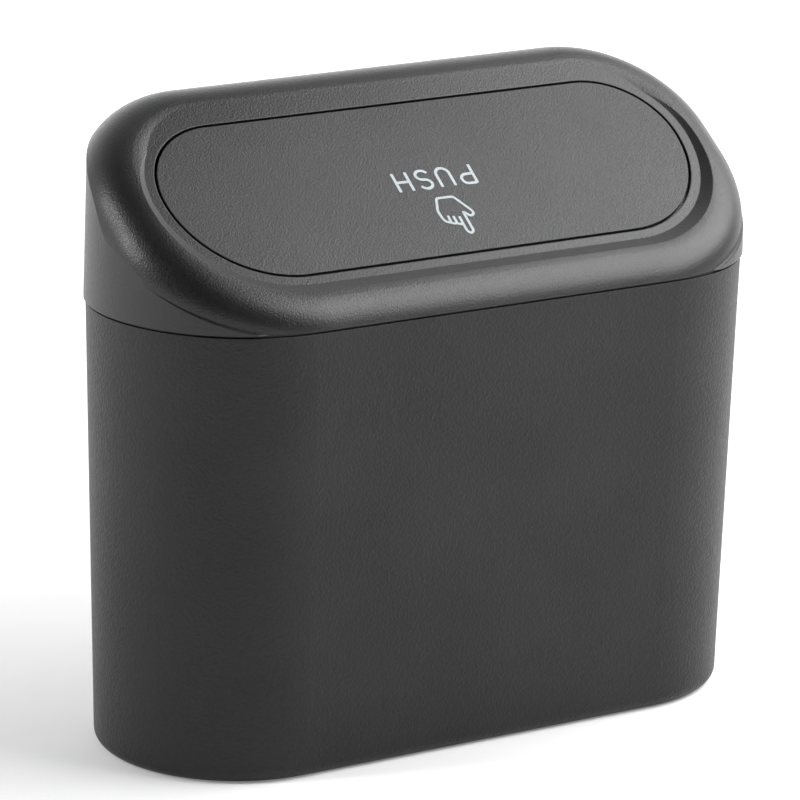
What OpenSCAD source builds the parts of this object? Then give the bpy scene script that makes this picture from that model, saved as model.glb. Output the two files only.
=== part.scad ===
// Car trash bin: a tapered tub, a pull-off lid with a slanted top, and a sprung flap in it.
// Millimetres. Z is up, the low side of the slanted top faces -Y, the hooks are on +Y.
// The origin is on the ground under the middle of the tub.

/* [Bin] */
// Length of the bin along X, across the lid's lower edge
bin_len = 210; // [180:1:240]
// Depth of the bin along Y, across the lid's lower edge
bin_dep = 87.8; // [80:0.1:100]

/* [Tub] */
// Height of the tub
tub_h = 131.6; // [110:0.2:150]
// Draft of the tub: how much its foot is set in from its mouth on each side
tub_draft = 3; // [1:0.05:5]
// Wall thickness of the tub
tub_wall = 2; // [1.6:0.1:2.6]
// Floor thickness of the tub
tub_floor = 2.4; // [1.6:0.1:4]
// Radius of the tub's lower outer edge
foot_r = 4; // [2:0.5:8]

/* [Hooks] */
// Distance between the middles of the two hooks
hook_span = 80; // [60:1:90]
// Width of a hook
hook_w = 24; // [14:1:30]
// Gap between a hook's tongue and the tub
hook_gap = 9; // [6:0.5:12]
// Length of a hook's tongue below its arm
hook_drop = 26; // [18:1:34]
// Thickness of a hook
hook_t = 3; // [2.5:0.1:4]
// Distance from the tub's rim down to the top of the hooks
hook_below_rim = 10; // [8:1:20]

/* [Lid] */
// Wall thickness of the lid
lid_wall = 2; // [1.6:0.1:2.4]
// How far the lid's lower edge stands out past the tub
lid_over = 0.6; // [0.5:0.1:1.5]
// Height of the shadow line between the tub's rim and the lid's lower edge
seam_h = 0.8; // [0.5:0.1:1.2]
// Depth of the lip that plugs into the tub
plug_h = 8; // [5:0.5:12]
// Thickness of the plug lip
plug_wall = 1.8; // [1.4:0.1:2.4]
// Clearance between the plug lip and the tub
plug_fit = 0.25; // [0.15:0.05:0.5]
// Slope of the rolled rim, in degrees
rim_tilt = 34.6; // [33:0.1:36]
// Height of the rim's plane above the tub's rim, over the middle of the bin
rim_rise = 35.5; // [34:0.1:37]
// Radius of the rolled rim
rim_r = 12; // [9:0.5:13]
// Radius of the rolled rim's centre line at its high corners
rim_back_r = 28.8; // [26:0.2:32]
// Radius of the rolled rim's centre line at its low corners
rim_front_r = 36.8; // [34:0.2:40]
// Radius of the rolled rim's inner side, from its crest down to the land
rim_inner_r = 18; // [14:1:24]
// Slope of the edge between the land and the rolled rim, in degrees
land_splay = 26; // [20:1:60]

/* [Flap] */
// Slope of the flap and of the land round it, in degrees
flap_tilt = 36.3; // [35:0.1:37]
// Height of the flap's plane above the tub's rim, over the middle of the bin
flap_rise = 34.4; // [33:0.1:35]
// Length of the flap
flap_len = 174.6; // [160:0.2:178]
// Radius of the flap's high corners
flap_back_r = 24.2; // [20:0.2:27]
// Radius of the flap's low corners
flap_front_r = 32; // [28:0.2:35]
// Distance down the slope from the middle of the bin to the flap's widest line
flap_shift = 3.8; // [1:0.1:5]
// Gap between the flap and the lid
flap_gap = 0.9; // [0.7:0.1:1.2]
// Width of the flat land round the flap
land_w = 3; // [2.6:0.1:3.4]
// Thickness of the land
land_t = 2; // [1.6:0.1:2.4]
// Thickness of the flap's plate
plate_t = 1.8; // [1.4:0.1:2.2]
// Depth of the skirt under the flap's edge
skirt_h = 4.4; // [4:0.1:6]
// Thickness of the skirt and of the stop flange
skirt_t = 1.5; // [1.2:0.1:1.8]
// How far the stop flange reaches out under the land
stop_w = 2.6; // [2:0.1:3]
// Clearance between the stop flange and the land
stop_fit = 0.3; // [0.2:0.05:0.5]
// Depth of the ribs under the flap
rib_h = 3; // [2:0.5:4]

/* [Hinge] */
// Distance of the hinge pin from the flap's high edge, along the slope
pin_inset = 4; // [3.5:0.1:6]
// Depth of the hinge pin below the face of the flap
pin_depth = 7; // [6.6:0.1:9]
// Diameter of the hinge pin
pin_d = 2.5; // [2:0.1:3]
// Length of the hinge pin
pin_len = 104; // [90:1:110]
// Radial clearance of the pin in the flap's knuckles
knuckle_fit = 0.08; // [0.05:0.01:0.1]
// Radial clearance of the pin in the lid's ears
ear_fit = 0.03; // [0.01:0.01:0.05]
// Radius of the ears and knuckles
boss_r = 3.2; // [2.8:0.1:3.4]
// Thickness of an ear round the pin
ear_t = 4; // [3:0.5:6]
// Thickness of the closed end of an ear
ear_end = 1; // [0.8:0.1:2]
// Thickness of a knuckle
knuckle_t = 3; // [2:0.5:5]
// Clearance along the pin between neighbours
side_fit = 0.4; // [0.2:0.1:1]

/* [Springs] */
// Wire diameter of the torsion springs
wire_d = 0.8; // [0.6:0.1:1]
// Inner diameter of the springs' coils
coil_bore = 3.2; // [3.1:0.1:3.4]
// Number of turns of a spring
coil_turns = 6; // [4:1:8]
// Pitch of the turns
coil_pitch = 0.95; // [0.9:0.05:1.2]
// Length of a spring's leg under the flap
flap_leg = 11; // [8:0.5:14]
// Length of a spring's leg under the lid's land
lid_leg = 8; // [7:0.5:9]
// Clearance between a leg's tip and what it rests on
leg_fit = 0.05; // [0.02:0.01:0.2]

/* [Hidden] */
$fn = 96;

// Plan of the bin: two half rounds on centres at +end_x and -end_x
lid_r = bin_dep / 2;
end_x = (bin_len - bin_dep) / 2;
mouth_r = lid_r - lid_over;
foot_plan_r = mouth_r - tub_draft;
// Radius of the tub's outer wall at a height
function tub_r(z) = foot_plan_r + tub_draft * z / tub_h;

// Hooks, on the flat back of the tub
hook_top = tub_h - hook_below_rim;
hook_in = tub_r(hook_top) - tub_wall / 2;
hook_face = tub_r(hook_top) + hook_gap;
hook_round = hook_t;

// Lid walls: a plain lip at the lower edge, nearly upright above it
lid_z = tub_h + seam_h;
lip_h = 0.7;
lid_lean = 1;
lid_top_r = lid_r - lid_lean;
lid_top_h = 60;
lid_top_z = tub_h + lid_top_h;
plug_r = mouth_r - tub_wall - plug_fit;
plug_low_r = tub_r(tub_h - plug_h) - tub_wall - plug_fit;
// The ledge rests on the tub's edge behind the shadow line, and the throat widens above it
ledge_in = 0.8;
ledge_r = mouth_r - ledge_in;
ledge_h = 1;
throat_h = 3;
throat_in = 1.6;
throat_z = tub_h + throat_h;
throat_r = lid_r - lid_wall - throat_in;

// Rolled rim: its crest line in the rim's own sloping plane
rim_z = tub_h + rim_rise;
rim_set = 0.3;
rim_x = bin_len / 2 - rim_set - rim_r;
rim_back = (lid_top_r - rim_r - rim_r * sin(rim_tilt)) / cos(rim_tilt);
// The low side of the roll runs out on the lid's lower edge: that edge's way down the slope and
// its depth below the rim's plane give the crest line
edge_in = 0.2;
edge_y = lid_r - edge_in;
edge_v = edge_y * cos(rim_tilt) + (rim_z - lid_z) * sin(rim_tilt);
edge_n = (rim_z - lid_z) * cos(rim_tilt) - edge_y * sin(rim_tilt);
rim_front = edge_v - sqrt(rim_r * rim_r - pow(rim_r - edge_n, 2));
// Plane up to which the walls stand, through the places where the roll turns upright at the back
// and at the ends
shoulder_z = rim_z - rim_r / cos(rim_tilt);
shoulder_tilt = atan(tan(rim_tilt) * (lid_top_r - rim_r) / lid_top_r);

// Flap: outline in its own sloping plane, widest at flap_mid
flap_z = tub_h + flap_rise;
flap_mid = -flap_shift;
flap_back = flap_mid + flap_back_r;
flap_back_x = flap_len / 2 - flap_back_r;
flap_front_x = flap_len / 2 - flap_front_r;
stop_top = land_t + stop_fit;
border = flap_gap + land_w;
border_back_r = flap_back_r + border;
border_front_r = flap_front_r + border;
splay_h = 4;
// How far past the flap's widest line the stop flange, the skirt and the ribs run: short of the hinge
stop_run = 6;
skirt_run = 12;
rib_run = 14;
rib_t = 1.2;
rib_at = [-60, -20, 20, 60];

// Hinge: pin axis in the flap's plane, and the stations along it
pin_v = flap_back - pin_inset;
pin_r = pin_d / 2;
ear_x = pin_len / 2 + side_fit / 2 + ear_end - ear_t;
knuckle_out = ear_x - side_fit - knuckle_t;
coil_len = coil_turns * coil_pitch;
coil_r = (coil_bore + wire_d) / 2;
coil_x = knuckle_out - side_fit - coil_len - wire_d / 2;
knuckle_in = coil_x - wire_d / 2 - side_fit - knuckle_t;
ear_root = 0.5;
ear_web = 7;
ear_foot = 3;
big = 200;

// A solid swept round the bin's plan from a half section in X (outwards) and Y (up)
module round_plan() {
    for (side = [0, 180])
        rotate([0, 0, side]) translate([end_x, 0, 0]) rotate([0, 0, -90])
            rotate_extrude(angle = 180) children();
    rotate([90, 0, 90]) linear_extrude(2 * end_x, center = true) {
        children();
        mirror([1, 0]) children();
    }
}

// Half section of a drafted tub with a round lower edge, tangent to floor and wall
module drafted_section(low_r, high_r, low_z, high_z, edge_r) {
    run = high_r - low_r;
    rise = high_z - low_z;
    slant = norm([run, rise]);
    edge_x = low_r - edge_r * (slant - run) / rise;
    difference() {
        polygon([[0, low_z], [low_r, low_z], [high_r, high_z], [0, high_z]]);
        difference() {
            translate([edge_x, low_z - 1]) square([2 * edge_r, 1 + edge_r - edge_r * run / slant]);
            translate([edge_x, low_z + edge_r]) circle(edge_r);
        }
    }
}

// Side view of a hook, with Y outwards from the middle of the bin and Z up
module hook_section() {
    arm_z = hook_top - hook_t;
    tip_z = hook_top - hook_drop + hook_t / 2;
    turn = [hook_face - hook_round, arm_z - hook_round];
    translate([hook_in, arm_z]) square([turn[0] - hook_in, hook_t]);
    translate(turn) intersection() {
        difference() {
            circle(hook_round + hook_t);
            circle(hook_round);
        }
        square(hook_round + hook_t);
    }
    translate([hook_face, tip_z]) square([hook_t, turn[1] - tip_z]);
    translate([hook_face + hook_t / 2, tip_z]) circle(hook_t / 2);
}

module tub() {
    color([0.13, 0.13, 0.14]) {
        difference() {
            union() {
                round_plan() drafted_section(foot_plan_r, mouth_r, 0, tub_h, foot_r);
                for (side = [-1, 1])
                    translate([side * hook_span / 2, 0, 0]) rotate([90, 0, 90])
                        linear_extrude(hook_w, center = true) hook_section();
            }
            round_plan() drafted_section(tub_r(tub_floor) - tub_wall, tub_r(tub_h + 1) - tub_wall,
                tub_floor, tub_h + 1, foot_r - tub_wall);
        }
    }
}

// Half section of the rim's plate: reach is how far the roll's crest is from the section's axis,
// and inset thins the form to its inner face. As a dip it is the hollow inside the crest instead.
module rim_half(reach, inset, dip) {
    if (dip)
        difference() {
            translate([0, -rim_r]) square([reach, 2 * rim_r]);
            translate([reach, -rim_inner_r]) circle(rim_inner_r);
        }
    else {
        translate([0, inset - 2 * rim_r]) square([reach, 2 * (rim_r - inset)]);
        translate([reach, -rim_r]) circle(rim_r - inset);
    }
}

// Plate with the rolled rim as its edge, or the hollow inside the roll, in the rim's sloping plane
module rim_plate(inset, dip = false) {
    back_x = rim_x - rim_back_r;
    back_v = rim_back - rim_back_r;
    front_x = rim_x - rim_front_r;
    front_v = rim_front_r - rim_front;
    translate([0, 0, rim_z]) rotate([rim_tilt, 0, 0]) {
        for (side = [0, 1]) mirror([side, 0, 0]) {
            translate([back_x, back_v, 0]) rotate_extrude(angle = 90) rim_half(rim_back_r, inset, dip);
            translate([front_x, front_v, 0]) rotate([0, 0, 270]) rotate_extrude(angle = 90)
                rim_half(rim_front_r, inset, dip);
            translate([0, back_v, 0]) rotate([90, 0, 0]) linear_extrude(back_v - front_v)
                rim_half(rim_x, inset, dip);
        }
        translate([0, back_v, 0]) rotate([90, 0, 90]) linear_extrude(2 * back_x, center = true)
            rim_half(rim_back_r, inset, dip);
        translate([0, front_v, 0]) rotate([90, 0, 270]) linear_extrude(2 * front_x, center = true)
            rim_half(rim_front_r, inset, dip);
    }
}

// Everything below the shoulder's plane
module shoulder_block(inset) {
    translate([0, 0, shoulder_z]) rotate([shoulder_tilt, 0, 0])
        translate([-big, -big, -2 * big - inset]) cube(2 * big);
}

// Outer form of the lid, or its inner face where inset is the wall
module lid_form(inset) {
    intersection() {
        round_plan() polygon([[0, lid_z], [lid_r - inset, lid_z], [lid_r - inset, lid_z + lip_h],
            [lid_top_r - inset, lid_top_z], [0, lid_top_z]]);
        union() {
            rim_plate(inset);
            shoulder_block(inset);
        }
    }
}

// Outline of the flap's plate, or one that stands out from it by more
module flap_outline(more) {
    back_r = flap_back_r + more;
    front_r = flap_front_r + more;
    intersection() {
        union() {
            for (side = [-1, 1]) translate([side * flap_back_x, flap_mid]) circle(back_r);
            translate([-flap_back_x, flap_mid - back_r]) square([2 * flap_back_x, 2 * back_r]);
        }
        translate([-big, flap_mid]) square([2 * big, big]);
    }
    intersection() {
        union() {
            for (side = [-1, 1]) translate([side * flap_front_x, flap_mid]) circle(front_r);
            translate([-flap_front_x, flap_mid - front_r]) square([2 * flap_front_x, 2 * front_r]);
        }
        translate([-big, flap_mid - big]) square([2 * big, big]);
    }
}

// Puts children into the flap's sloping plane: Y goes up the slope, Z out of the flap
module in_flap_plane() {
    translate([0, 0, flap_z]) rotate([flap_tilt, 0, 0]) children();
}

// Half section of the opening above the land: splayed from the land's border to the rolled rim
module splay_half(reach) {
    polygon([[0, 0], [reach, 0], [reach + splay_h / tan(land_splay), splay_h], [0, splay_h]]);
}

// Opening above the land, in the flap's plane
module land_opening() {
    for (side = [0, 1]) mirror([side, 0, 0]) {
        translate([flap_back_x, flap_mid, 0]) rotate_extrude(angle = 90) splay_half(border_back_r);
        translate([flap_front_x, flap_mid, 0]) rotate([0, 0, 270]) rotate_extrude(angle = 90)
            splay_half(border_front_r);
    }
    translate([0, flap_mid, 0]) rotate([90, 0, 90]) linear_extrude(2 * flap_back_x, center = true)
        splay_half(border_back_r);
    translate([0, flap_mid, 0]) rotate([90, 0, 270]) linear_extrude(2 * flap_front_x, center = true)
        splay_half(border_front_r);
}

// One of the two ears under the high side of the lid that hold the ends of the pin
module ear() {
    root_v = flap_back + flap_gap + ear_root;
    heel_v = root_v + ear_web;
    difference() {
        rotate([90, 0, 90]) linear_extrude(ear_t) {
            translate([pin_v, -pin_depth]) circle(boss_r);
            polygon([[pin_v, -pin_depth - boss_r], [root_v + ear_foot, -pin_depth - boss_r],
                [heel_v, -land_t - ear_foot], [heel_v, -land_t / 2], [root_v, -land_t / 2],
                [root_v, -pin_depth + boss_r], [pin_v, -pin_depth + boss_r]]);
        }
        translate([-1, pin_v, -pin_depth]) rotate([0, 90, 0])
            cylinder(h = ear_t - ear_end + 1, r = pin_r + ear_fit);
    }
}

module lid() {
    color([0.2, 0.2, 0.21]) {
        difference() {
            union() {
                lid_form(0);
                round_plan() polygon([[0, tub_h - plug_h], [plug_low_r, tub_h - plug_h], [plug_r, tub_h],
                    [ledge_r, tub_h], [ledge_r, lid_z + ledge_h], [0, lid_z + ledge_h]]);
            }
            intersection() {
                rim_plate(0, dip = true);
                in_flap_plane() translate([-big, -big, 0]) cube(2 * big);
            }
            difference() {
                lid_form(lid_wall);
                translate([-big, -big, throat_z - 2 * big]) cube(2 * big);
                in_flap_plane() translate([0, 0, -land_t]) linear_extrude(big)
                    flap_outline(border + lid_wall);
            }
            round_plan() polygon([[0, tub_h - plug_h - 1], [plug_low_r - plug_wall, tub_h - plug_h - 1],
                [plug_r - plug_wall, tub_h], [throat_r, throat_z + 0.01], [0, throat_z + 0.01]]);
            in_flap_plane() {
                land_opening();
                translate([0, 0, -splay_h]) linear_extrude(2 * splay_h) flap_outline(flap_gap);
            }
        }
        for (side = [0, 1]) mirror([side, 0, 0]) in_flap_plane() translate([ear_x, 0, 0]) ear();
    }
}

// A knuckle under the flap, from its plate down round the pin
module knuckle() {
    difference() {
        rotate([90, 0, 90]) linear_extrude(knuckle_t) {
            translate([pin_v, -pin_depth]) circle(boss_r);
            translate([pin_v - boss_r, -pin_depth]) square([2 * boss_r, pin_depth - plate_t / 2]);
        }
        translate([-1, pin_v, -pin_depth]) rotate([0, 90, 0])
            cylinder(h = knuckle_t + 2, r = pin_r + knuckle_fit);
    }
}

module push_flap() {
    rib_z = plate_t + rib_h;
    rib_start = flap_mid - flap_front_r + skirt_t / 2;
    color([0.27, 0.27, 0.28]) in_flap_plane() {
        translate([0, 0, -plate_t]) linear_extrude(plate_t) flap_outline(0);
        translate([0, 0, -skirt_h]) linear_extrude(skirt_h - plate_t / 2) difference() {
            flap_outline(0);
            flap_outline(-skirt_t);
            translate([-big, flap_mid + skirt_run]) square(2 * big);
        }
        translate([0, 0, -stop_top - skirt_t]) linear_extrude(skirt_t) difference() {
            flap_outline(stop_w);
            flap_outline(-skirt_t / 2);
            translate([-big, flap_mid + stop_run]) square(2 * big);
        }
        for (x = rib_at)
            translate([x - rib_t / 2, rib_start, -rib_z])
                cube([rib_t, flap_mid + rib_run - rib_start, rib_h + plate_t / 2]);
        for (side = [0, 1]) mirror([side, 0, 0]) for (x = [knuckle_in, knuckle_out])
            translate([x, 0, 0]) knuckle();
    }
}

module hinge_pin() {
    color([0.7, 0.7, 0.72]) in_flap_plane() translate([-pin_len / 2, pin_v, -pin_depth])
        rotate([0, 90, 0]) cylinder(h = pin_len, r = pin_r);
}

// Frame of a wire's section at point i of its path: across is near X, up is square to both
function unit(a) = a / norm(a);
function along(p, i) = unit(p[min(i + 1, len(p) - 1)] - p[max(i - 1, 0)]);
function ring(p, i, r, sides) =
    let (t = along(p, i), across = unit([1, 0, 0] - t * t[0]), up = cross(t, across))
    [for (k = [0:sides - 1]) p[i] + r * (cos(360 * k / sides) * across + sin(360 * k / sides) * up)];

// Round wire that follows a path
module wire(p, r, sides = 8) {
    n = len(p);
    polyhedron(
        points = [for (i = [0:n - 1]) each ring(p, i, r, sides)],
        faces = concat([[for (k = [sides - 1:-1:0]) k]], [[for (k = [0:sides - 1]) (n - 1) * sides + k]],
            [for (i = [0:n - 2]) for (k = [0:sides - 1])
                let (a = i * sides + k, b = i * sides + (k + 1) % sides) [a, b, b + sides, a + sides]]));
}

// Slope at which a leg of length n leaves a coil of radius r so that its tip stands h above the axis
function leg_angle(h, n, r) = atan2(r, n) + acos(h / norm([r, n]));

// Torsion spring on the pin: a leg up to the flap's plate, the coil, and a leg up to the lid's land
module torsion_spring() {
    turn_steps = 20;
    flap_angle = leg_angle(pin_depth - plate_t - wire_d / 2 - leg_fit, flap_leg, coil_r);
    lid_angle = 180 - leg_angle(pin_depth - land_t - wire_d / 2 - leg_fit, lid_leg, coil_r);
    turn = 360 * coil_turns + flap_angle - lid_angle;
    steps = coil_turns * turn_steps;
    coil = [for (k = [0:steps])
        let (a = flap_angle - turn * k / steps) [coil_len * k / steps, coil_r * cos(a), coil_r * sin(a)]];
    path = concat([coil[0] + flap_leg * [0, -sin(flap_angle), cos(flap_angle)]], coil,
        [coil[steps] + lid_leg * [0, sin(lid_angle), -cos(lid_angle)]]);
    color([0.75, 0.75, 0.77]) in_flap_plane() translate([coil_x, pin_v, -pin_depth]) wire(path, wire_d / 2);
}

module torsion_spring_right() {
    torsion_spring();
}

module torsion_spring_left() {
    mirror([1, 0, 0]) torsion_spring();
}

tub();
lid();
push_flap();
hinge_pin();
torsion_spring_left();
torsion_spring_right();
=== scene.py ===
from math import cos, pi, radians, sin

import bpy
from mathutils import Matrix, Vector


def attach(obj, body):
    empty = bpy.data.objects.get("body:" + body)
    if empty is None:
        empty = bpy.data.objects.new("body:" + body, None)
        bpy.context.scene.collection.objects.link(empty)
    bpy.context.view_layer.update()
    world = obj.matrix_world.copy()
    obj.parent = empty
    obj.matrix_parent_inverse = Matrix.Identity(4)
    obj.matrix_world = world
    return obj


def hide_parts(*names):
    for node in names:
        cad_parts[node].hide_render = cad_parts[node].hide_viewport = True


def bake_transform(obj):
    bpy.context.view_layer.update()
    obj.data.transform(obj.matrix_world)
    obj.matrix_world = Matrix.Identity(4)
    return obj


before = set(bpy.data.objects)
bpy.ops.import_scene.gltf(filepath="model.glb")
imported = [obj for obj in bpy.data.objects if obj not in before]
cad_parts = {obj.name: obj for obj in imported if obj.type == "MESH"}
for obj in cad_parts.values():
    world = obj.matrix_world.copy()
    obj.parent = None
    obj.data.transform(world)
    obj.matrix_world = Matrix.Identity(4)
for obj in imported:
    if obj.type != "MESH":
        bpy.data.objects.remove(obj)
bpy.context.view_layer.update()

MM = 0.001

# Helpers


def mm(*p):
    return Vector(p) * MM


def new_material(name):
    m = bpy.data.materials.new(name)
    m.use_nodes = True
    m.node_tree.nodes.clear()
    return m, m.node_tree


def node(tree, kind, **values):
    n = tree.nodes.new(kind)
    for k, v in values.items():
        if k.startswith("in_"):
            n.inputs[k[3:].replace("_", " ")].default_value = v
        else:
            setattr(n, k, v)
    return n


def wire(tree, a, b):
    tree.links.new(a, b)


def ramp(tree, fac, stops):
    r = node(tree, "ShaderNodeValToRGB")
    el = r.color_ramp.elements
    while len(el) < len(stops):
        el.new(0.5)
    for e, (at, c) in zip(el, stops):
        e.position = at
        e.color = (*c, 1) if hasattr(c, "__len__") else (c, c, c, 1)
    wire(tree, fac, r.inputs["Fac"])
    return r.outputs["Color"]


def spread(tree, value, low, high, to_low, to_high):
    n = node(tree, "ShaderNodeMapRange")
    wire(tree, value, n.inputs["Value"])
    for name, v in (("From Min", low), ("From Max", high), ("To Min", to_low), ("To Max", to_high)):
        n.inputs[name].default_value = v
    return n.outputs["Result"]


def noise(tree, coord, scale, detail=2.0, rough=0.5):
    n = node(tree, "ShaderNodeTexNoise", in_Scale=scale, in_Detail=detail, in_Roughness=rough)
    wire(tree, coord, n.inputs["Vector"])
    return n.outputs["Fac"]


def moulded(name, dark, light, grain, grain_height, rough, spec, edge, edge_highlight_colour):
    """Black moulded polypropylene: spark-eroded grain, cloudy tint, softened edges, and a painted highlight
    that makes the edges slightly paler.
    """
    m, t = new_material(name)
    where = node(t, "ShaderNodeTexCoord").outputs["Object"]

    cloud = noise(t, where, 28, 3)                       # flow of the melt, some 40 mm across
    fleck = noise(t, where, grain * 0.8, 2, 0.6)         # tips of the grain catch dust and light
    both = node(t, "ShaderNodeMath", operation="MULTIPLY_ADD")
    wire(t, fleck, both.inputs[0])
    both.inputs[1].default_value = 0.65
    wire(t, spread(t, cloud, 0.3, 0.7, 0.0, 0.35), both.inputs[2])
    colour = ramp(t, both.outputs[0], [(0.28, dark), (0.72, light)])

    soft = node(t, "ShaderNodeBevel", samples=6, in_Radius=edge * MM)
    plain = node(t, "ShaderNodeNewGeometry").outputs["Normal"]
    # Painted highlight: where the bevelled normal turns from the plain one, at edges and creases, the colour
    # is mixed in patches towards a paler grey that stands in for light caught by the rounded edges.
    turn = node(t, "ShaderNodeVectorMath", operation="DOT_PRODUCT")
    wire(t, soft.outputs["Normal"], turn.inputs[0])
    wire(t, plain, turn.inputs[1])
    painted_edge_highlight = spread(t, turn.outputs["Value"], 0.995, 0.8, 0.0, 1.0)
    patchy_edge_highlight = node(t, "ShaderNodeMath", operation="MULTIPLY")
    wire(t, painted_edge_highlight, patchy_edge_highlight.inputs[0])
    wire(t, spread(t, noise(t, where, 160, 3), 0.35, 0.7, 0.25, 1.0), patchy_edge_highlight.inputs[1])
    tint = node(t, "ShaderNodeMix", data_type="RGBA")
    wire(t, patchy_edge_highlight.outputs[0], tint.inputs["Factor"])
    wire(t, colour, tint.inputs[6])
    tint.inputs[7].default_value = (*edge_highlight_colour, 1)

    bsdf = node(t, "ShaderNodeBsdfPrincipled")
    wire(t, tint.outputs[2], bsdf.inputs["Base Color"])
    bsdf.inputs["IOR"].default_value = 1.49
    bsdf.inputs["Specular IOR Level"].default_value = spec
    wire(t, spread(t, noise(t, where, grain * 0.5, 2), 0.3, 0.7, rough - 0.035, rough + 0.035),
         bsdf.inputs["Roughness"])

    pits = node(t, "ShaderNodeTexVoronoi", feature="SMOOTH_F1", in_Scale=grain, in_Smoothness=0.6)
    wire(t, where, pits.inputs["Vector"])
    sand = noise(t, where, grain * 1.7, 3, 0.6)
    height = node(t, "ShaderNodeMath", operation="ADD")
    wire(t, pits.outputs["Distance"], height.inputs[0])
    wire(t, sand, height.inputs[1])
    bump = node(t, "ShaderNodeBump", in_Strength=1.0, in_Distance=grain_height * MM)
    wire(t, height.outputs[0], bump.inputs["Height"])
    wire(t, soft.outputs["Normal"], bump.inputs["Normal"])
    wire(t, bump.outputs["Normal"], bsdf.inputs["Normal"])
    out = node(t, "ShaderNodeOutputMaterial")
    wire(t, bsdf.outputs[0], out.inputs["Surface"])
    return m


def drawn_steel(name, colour, axis, rough):
    """Drawn wire and rod: fine lines along the drawing direction, a little oil haze."""
    m, t = new_material(name)
    where = node(t, "ShaderNodeTexCoord").outputs["Object"]
    stretch = node(t, "ShaderNodeMapping")
    stretch.inputs["Scale"].default_value = [300 if k == axis else 9000 for k in range(3)]
    wire(t, where, stretch.inputs["Vector"])
    lines = noise(t, stretch.outputs[0], 1.0, 3, 0.6)
    haze = noise(t, where, 400, 3)
    bsdf = node(t, "ShaderNodeBsdfPrincipled", in_Metallic=1.0)
    wire(t, ramp(t, haze, [(0.3, [c * 0.72 for c in colour]), (0.7, colour)]), bsdf.inputs["Base Color"])
    wire(t, spread(t, lines, 0.3, 0.7, rough - 0.08, rough + 0.08), bsdf.inputs["Roughness"])
    bump = node(t, "ShaderNodeBump", in_Strength=1.0, in_Distance=0.01 * MM)
    wire(t, lines, bump.inputs["Height"])
    wire(t, bump.outputs["Normal"], bsdf.inputs["Normal"])
    out = node(t, "ShaderNodeOutputMaterial")
    wire(t, bsdf.outputs[0], out.inputs["Surface"])
    return m


def pad_ink(name):
    """Pad-printed ink: pale cool grey, thin enough that the grain shows a little."""
    m, t = new_material(name)
    where = node(t, "ShaderNodeTexCoord").outputs["Object"]
    thin = noise(t, where, 2600, 3, 0.6)
    bsdf = node(t, "ShaderNodeBsdfPrincipled", in_IOR=1.48)
    wire(t, ramp(t, thin, [(0.25, (0.32, 0.36, 0.38)), (0.6, (0.46, 0.51, 0.53))]), bsdf.inputs["Base Color"])
    wire(t, spread(t, thin, 0.3, 0.7, 0.62, 0.48), bsdf.inputs["Roughness"])
    bump = node(t, "ShaderNodeBump", in_Strength=0.6, in_Distance=0.02 * MM)
    wire(t, thin, bump.inputs["Height"])
    wire(t, bump.outputs["Normal"], bsdf.inputs["Normal"])
    out = node(t, "ShaderNodeOutputMaterial")
    wire(t, bsdf.outputs[0], out.inputs["Surface"])
    return m


def dress(name, material):
    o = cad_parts[name]
    o.data.materials.clear()
    o.data.materials.append(material)
    for p in o.data.polygons:
        p.material_index = 0


# Finishes

# The last colour given to each plastic is the paler grey of its painted edge highlight.
tub_plastic = moulded("tub_plastic", (0.006, 0.006, 0.0065), (0.014, 0.014, 0.0145),
                      grain=1150, grain_height=0.13, rough=0.46, spec=0.37, edge=0.35,
                      edge_highlight_colour=(0.045, 0.045, 0.047))
lid_plastic = moulded("lid_plastic", (0.006, 0.006, 0.0065), (0.013, 0.013, 0.0135),
                      grain=1700, grain_height=0.045, rough=0.375, spec=0.5, edge=0.45,
                      edge_highlight_colour=(0.045, 0.045, 0.047))
flap_plastic = moulded("flap_plastic", (0.010, 0.010, 0.011), (0.020, 0.020, 0.021),
                       grain=1700, grain_height=0.07, rough=0.47, spec=0.5, edge=0.35,
                       edge_highlight_colour=(0.050, 0.050, 0.052))
dress("tub", tub_plastic)
dress("lid", lid_plastic)
dress("push_flap", flap_plastic)
dress("hinge_pin", drawn_steel("pin_steel", (0.62, 0.62, 0.63), 0, 0.32))
spring_steel = drawn_steel("spring_steel", (0.50, 0.50, 0.52), 2, 0.36)
dress("torsion_spring_left", spring_steel)
dress("torsion_spring_right", spring_steel)

# Springs
# On the bin a spring's wire keeps to the flap at its inner leg and to the lid at its outer leg, and winds up
# in between; here each coil is copied whole as a still wire, and the imported part is hidden.

for name, outward in (("torsion_spring_left", -1), ("torsion_spring_right", 1)):
    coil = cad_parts[name].data.copy()
    coil.name = name + "_wire"
    spring = bpy.data.objects.new(name + "_wire", coil)
    bpy.context.scene.collection.objects.link(spring)
    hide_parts(name)
    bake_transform(spring)

# Marking on the flap
# A plain PUSH and a pointing hand, pad printed on the outer face, read from the hinge side.

FLAP_TILT = radians(36.3)
FLAP_Z = 166.0                     # height of the flap's face on the centre line
INK_TOP, INK_FOOT = 0.05, -0.03    # above and below the face
LINE = 0.92                        # width of a letter's line
HAND_LINE = LINE * 0.9
LAYER = 0.002                      # each line lies this much above the last, so that no two faces meet
RIGHT_STEM, FOOT_LINE = 12.98, -4.85   # the first letter's stem and the letters' foot line on the flap
ROUND_END = 0.45                   # how far a line's end bulges, as a share of half its width
CORNER = 0.7                       # rounding of the hand's corners


def on_flap(x, v, n):
    """x across, v up the slope, n off the face, in mm, to the row frame in metres."""
    return mm(x, v * cos(FLAP_TILT) - n * sin(FLAP_TILT), FLAP_Z + v * sin(FLAP_TILT) + n * cos(FLAP_TILT))


def arc(cx, cy, r, a0, a1, steps=12, squash=1.0):
    return [(cx + r * cos(radians(a0 + (a1 - a0) * k / steps)),
             cy + r * squash * sin(radians(a0 + (a1 - a0) * k / steps))) for k in range(steps + 1)]


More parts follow.
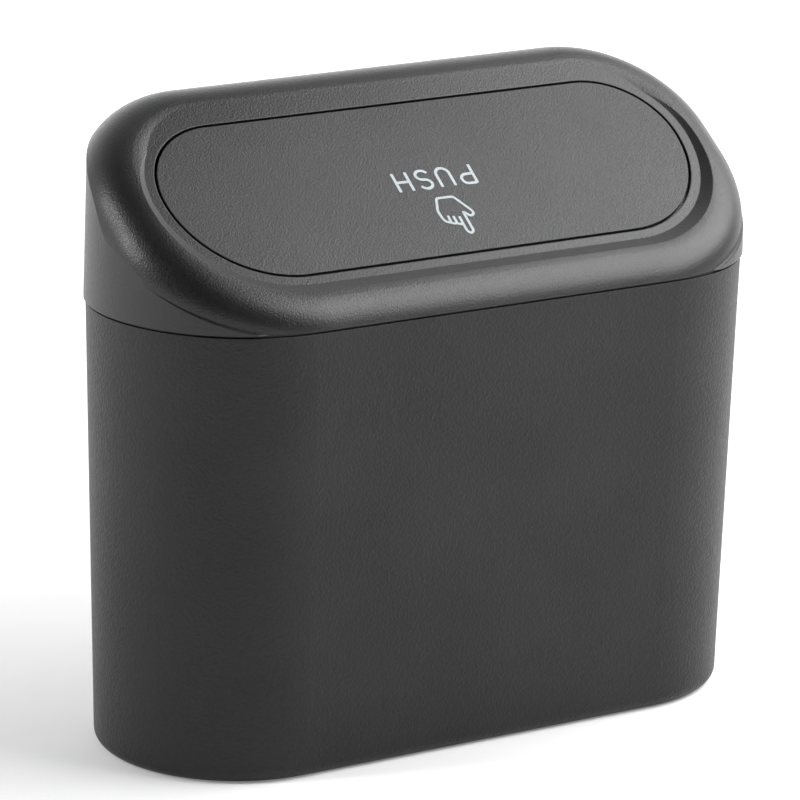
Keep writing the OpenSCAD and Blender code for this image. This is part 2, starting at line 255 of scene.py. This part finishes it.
def rounded(points, r, closed=False, steps=5):
    """The same path with each corner eased by a short curve that starts r before it."""
    pts = [Vector(p) for p in points]
    out = []
    last = len(pts) - 1
    for i, p in enumerate(pts):
        if not closed and i in (0, last):
            out.append(p)
            continue
        a, b = pts[i - 1] - p, pts[(i + 1) % len(pts)] - p
        cut = min(r, a.length * 0.48, b.length * 0.48)
        start, end = p + a.normalized() * cut, p + b.normalized() * cut
        for k in range(steps + 1):
            w = k / steps
            out.append(start * (1 - w) ** 2 + p * 2 * w * (1 - w) + end * w ** 2)
    return out


def left(d, reach):
    """A step of that length to the left of direction d."""
    return Vector((-d.y, d.x)) * reach


def round_end(p, d, reach, steps):
    """Pairs of points across a line's end at p, which bulges along its direction d, or against it below 0."""
    pairs = []
    for k in steps:
        f = (pi / 2) * k / 4
        tip = p + d * (reach * ROUND_END * sin(f))
        side = left(d, abs(reach) * cos(f))
        pairs.append((tip + side, tip - side))
    return pairs


def stroke(verts, faces, path, width, top, closed=False):
    """A flat printed line with round ends along a path on the flap."""
    pts = [Vector(p) for p in path]
    count, half = len(pts), width / 2
    headings = []
    for i, p in enumerate(pts):
        d = Vector((0, 0))
        if closed or i > 0:
            d += (p - pts[i - 1]).normalized()
        if closed or i < count - 1:
            d += (pts[(i + 1) % count] - p).normalized()
        headings.append(d.normalized())
    rows = [(p + left(d, half), p - left(d, half)) for p, d in zip(pts, headings)]
    if not closed:
        rows = (round_end(pts[0], headings[0], -half, (3, 2, 1)) + rows
                + round_end(pts[-1], headings[-1], half, (1, 2, 3)))
    base = len(verts)
    for l, r in rows:
        for q in (l, r):
            verts.append(on_flap(q.x, q.y, top))
            verts.append(on_flap(q.x, q.y, INK_FOOT))
    n = len(rows)
    spans = [(i, (i + 1) % n) for i in range(n if closed else n - 1)]
    for i, j in spans:
        a, b = base + 4 * i, base + 4 * j
        faces.append((a, a + 2, b + 2, b))
        faces.append((a, b, b + 1, a + 1))
        faces.append((a + 2, a + 3, b + 3, b + 2))
    if not closed:
        a = base
        faces.append((a, a + 1, a + 3, a + 2))
        a = base + 4 * (n - 1)
        faces.append((a, a + 2, a + 3, a + 1))


def letters():
    """PUSH as plain strokes: x to the right and y up as it is read, from the P's stem and the foot line."""
    cap, bowl, wide = 6.7, 1.72, 4.4
    u_left, s_mid, h_left = 7.5, 16.7, 21.7
    stem_lap, bar_lap = 0.3, 0.2
    squash, s_wide = 0.82, 1.22
    yield [(0, 0), (0, cap)]
    yield [(stem_lap, cap)] + arc(2.7, cap - bowl, bowl, 90, -90) + [(stem_lap, cap - 2 * bowl)]
    r = wide / 2
    yield [(u_left, cap)] + arc(u_left + r, r, r, 180, 360) + [(u_left + wide, cap)]
    r = cap / 4
    yield (arc(s_mid, cap - r, r * s_wide, 25, 270, 14, squash)[:-1]
           + arc(s_mid, r, r * s_wide, 90, -155, 14, squash))
    yield [(h_left, 0), (h_left, cap)]
    yield [(h_left + wide, 0), (h_left + wide, cap)]
    yield [(h_left + bar_lap, cap / 2), (h_left + wide - bar_lap, cap / 2)]


def hand():
    """A pointing hand in outline, fingers towards the low edge: one closed line and three short ones."""
    wrist_and_thumb = [(-3.2, -15.5), (2.4, -15.6), (6.1, -21.7), (5.8, -22.9), (4.5, -23.3), (2.9, -21.3)]
    forefinger = [(2.9, -28.6), (1.85, -29.5), (0.8, -28.6), (0.8, -25.9)]
    knuckles = [(-0.5, -25.6), (-1.0, -25.3), (-2.2, -25.2), (-2.7, -24.8), (-4.2, -24.3), (-4.8, -23.1),
                (-5.0, -20.0)]
    outline = wrist_and_thumb + forefinger + knuckles
    yield outline, True
    yield [(0.8, -26.0), (0.85, -23.1)], False
    yield [(-0.95, -25.3), (-1.0, -22.7)], False
    yield [(-2.7, -24.9), (-2.65, -22.3)], False


def printed_marking():
    verts, faces = [], []
    level = INK_TOP
    for path in letters():
        placed = [(RIGHT_STEM - x, FOOT_LINE - y) for x, y in path]
        stroke(verts, faces, placed, LINE, level)
        level += LAYER
    for path, closed in hand():
        smooth = rounded(path, CORNER, closed) if closed else path
        stroke(verts, faces, smooth, HAND_LINE, level, closed)
        level += LAYER
    ink = bpy.data.meshes.new("push_marking")
    ink.from_pydata(verts, [], faces)
    ink.validate()
    ink.update()
    ink.materials.append(pad_ink("pad_ink"))
    marking = bpy.data.objects.new("push_marking", ink)
    bpy.context.scene.collection.objects.link(marking)
    return marking


marking = printed_marking()
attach(marking, "flap")

# Studio

MIDDLE = Vector((0, 0, 0.12))
FLOOR_HALF = 8.0
LIFT_FROM, LIFT_TO = 0.2, 1.4      # distances from the object between which the floor turns white
LIFT_NEAR, LIFT_FAR = 0.18, 1.5    # the white added at these
ROOM_LOW, ROOM_HIGH = 2.2, 0.10    # brightness of the room behind the object, low down and overhead
ROOM_LEFT = 0.45                   # the share of it that is left on the left side
ROOM_DARK = 0.04                   # what the unlit front and ceiling still give


def area(name, at, size, power):
    """A softbox that faces the middle of the object: size in metres, power in watts."""
    data = bpy.data.lights.new(name, "AREA")
    data.shape = "RECTANGLE"
    data.size, data.size_y = size
    data.energy = power
    o = bpy.data.objects.new(name, data)
    bpy.context.scene.collection.objects.link(o)
    o.location = at
    o.rotation_euler = (MIDDLE - at).to_track_quat("-Z", "Y").to_euler()
    o.visible_camera = False


def towards(azimuth, elevation, distance):
    """A place seen from the object at an azimuth (0 in front, right is +) and an elevation, in degrees."""
    a, e = radians(azimuth), radians(elevation)
    return Vector((sin(a) * cos(e), -cos(a) * cos(e), sin(e))) * distance + MIDDLE


def seen_white(t):
    """1 for camera, glossy and transmission rays: the floor is white to the eye and in reflections."""
    path = node(t, "ShaderNodeLightPath")
    a = node(t, "ShaderNodeMath", operation="MAXIMUM")
    wire(t, path.outputs["Is Camera Ray"], a.inputs[0])
    wire(t, path.outputs["Is Glossy Ray"], a.inputs[1])
    b = node(t, "ShaderNodeMath", operation="MAXIMUM")
    wire(t, a.outputs[0], b.inputs[0])
    wire(t, path.outputs["Is Transmission Ray"], b.inputs[1])
    return b.outputs[0]


def floor_paper():
    """Pale paper, made white away from the object, so that only the shadow near it is left."""
    m, t = new_material("floor_paper")
    paper = node(t, "ShaderNodeBsdfDiffuse")
    where = node(t, "ShaderNodeTexCoord").outputs["Object"]
    wire(t, ramp(t, noise(t, where, 40, 2), [(0.3, 0.78), (0.7, 0.80)]), paper.inputs["Color"])
    lift = node(t, "ShaderNodeEmission")
    away = node(t, "ShaderNodeVectorMath", operation="LENGTH")
    wire(t, where, away.inputs[0])
    strength = node(t, "ShaderNodeMath", operation="MULTIPLY")
    wire(t, seen_white(t), strength.inputs[0])
    wire(t, spread(t, away.outputs["Value"], LIFT_FROM, LIFT_TO, LIFT_NEAR, LIFT_FAR), strength.inputs[1])
    wire(t, strength.outputs[0], lift.inputs["Strength"])
    add = node(t, "ShaderNodeAddShader")
    wire(t, paper.outputs[0], add.inputs[0])
    wire(t, lift.outputs[0], add.inputs[1])
    out = node(t, "ShaderNodeOutputMaterial")
    wire(t, add.outputs[0], out.inputs["Surface"])
    return m


def light_room():
    """The world: white to the camera, else a room lit behind the object that fades upwards and leftwards."""
    world = bpy.data.worlds.new("studio")
    bpy.context.scene.world = world
    world.use_nodes = True
    t = world.node_tree
    t.nodes.clear()
    look = node(t, "ShaderNodeSeparateXYZ")
    wire(t, node(t, "ShaderNodeTexCoord").outputs["Generated"], look.inputs[0])
    behind = spread(t, look.outputs["Y"], -0.05, 0.40, 0.0, 1.0)
    side = spread(t, look.outputs["X"], -0.7, 0.1, ROOM_LEFT, 1.0)
    low = node(t, "ShaderNodeMath", operation="MULTIPLY")
    wire(t, side, low.inputs[0])
    wire(t, spread(t, look.outputs["Z"], 0.30, 0.95, ROOM_LOW, ROOM_HIGH), low.inputs[1])
    room = node(t, "ShaderNodeMath", operation="MULTIPLY_ADD")
    wire(t, behind, room.inputs[0])
    wire(t, low.outputs[0], room.inputs[1])
    room.inputs[2].default_value = ROOM_DARK
    lit = node(t, "ShaderNodeBackground", in_Color=(1, 1, 1, 1))
    wire(t, room.outputs[0], lit.inputs["Strength"])
    white = node(t, "ShaderNodeBackground", in_Color=(1, 1, 1, 1), in_Strength=1.0)
    mix = node(t, "ShaderNodeMixShader")
    wire(t, node(t, "ShaderNodeLightPath").outputs["Is Camera Ray"], mix.inputs[0])
    wire(t, lit.outputs[0], mix.inputs[1])
    wire(t, white.outputs[0], mix.inputs[2])
    out = node(t, "ShaderNodeOutputWorld")
    wire(t, mix.outputs[0], out.inputs["Surface"])


area("key_softbox", towards(59, 40.5, 0.60), (0.70, 0.54), 7.7)
area("left_softbox", towards(-102, 28, 0.95), (0.13, 0.42), 3.9)

floor_mesh = bpy.data.meshes.new("floor")
corners = [(x * FLOOR_HALF, y * FLOOR_HALF, 0) for x, y in ((-1, -1), (1, -1), (1, 1), (-1, 1))]
floor_mesh.from_pydata(corners, [], [(0, 1, 2, 3)])
floor_mesh.materials.append(floor_paper())
floor = bpy.data.objects.new("floor", floor_mesh)
bpy.context.scene.collection.objects.link(floor)
light_room()

# Camera, at the photograph's angle

AZ, EL, ROLL = radians(-32.92), radians(16.00), radians(1.24)
AIM = mm(-5.93, 0, 94.15)          # the point in the middle of the picture
DISTANCE = 1.49946
FOCAL_PX, PICTURE_PX = 5158.24, 800
SENSOR = 36

back = Vector((sin(AZ) * cos(EL), -cos(AZ) * cos(EL), sin(EL)))
right = Vector((0, 0, 1)).cross(back).normalized()
up = back.cross(right)
right, up = right * cos(ROLL) + up * sin(ROLL), up * cos(ROLL) - right * sin(ROLL)
eye = AIM + back * DISTANCE
cam_data = bpy.data.cameras.new("camera")
cam_data.sensor_width = SENSOR
cam_data.lens = FOCAL_PX * SENSOR / PICTURE_PX
cam_data.clip_start, cam_data.clip_end = 0.05, 60
camera = bpy.data.objects.new("camera", cam_data)
bpy.context.scene.collection.objects.link(camera)
camera.matrix_world = Matrix([(right[k], up[k], back[k], eye[k]) for k in range(3)] + [(0, 0, 0, 1)])
bpy.context.scene.camera = camera

bpy.context.scene.view_settings.view_transform = "Standard"
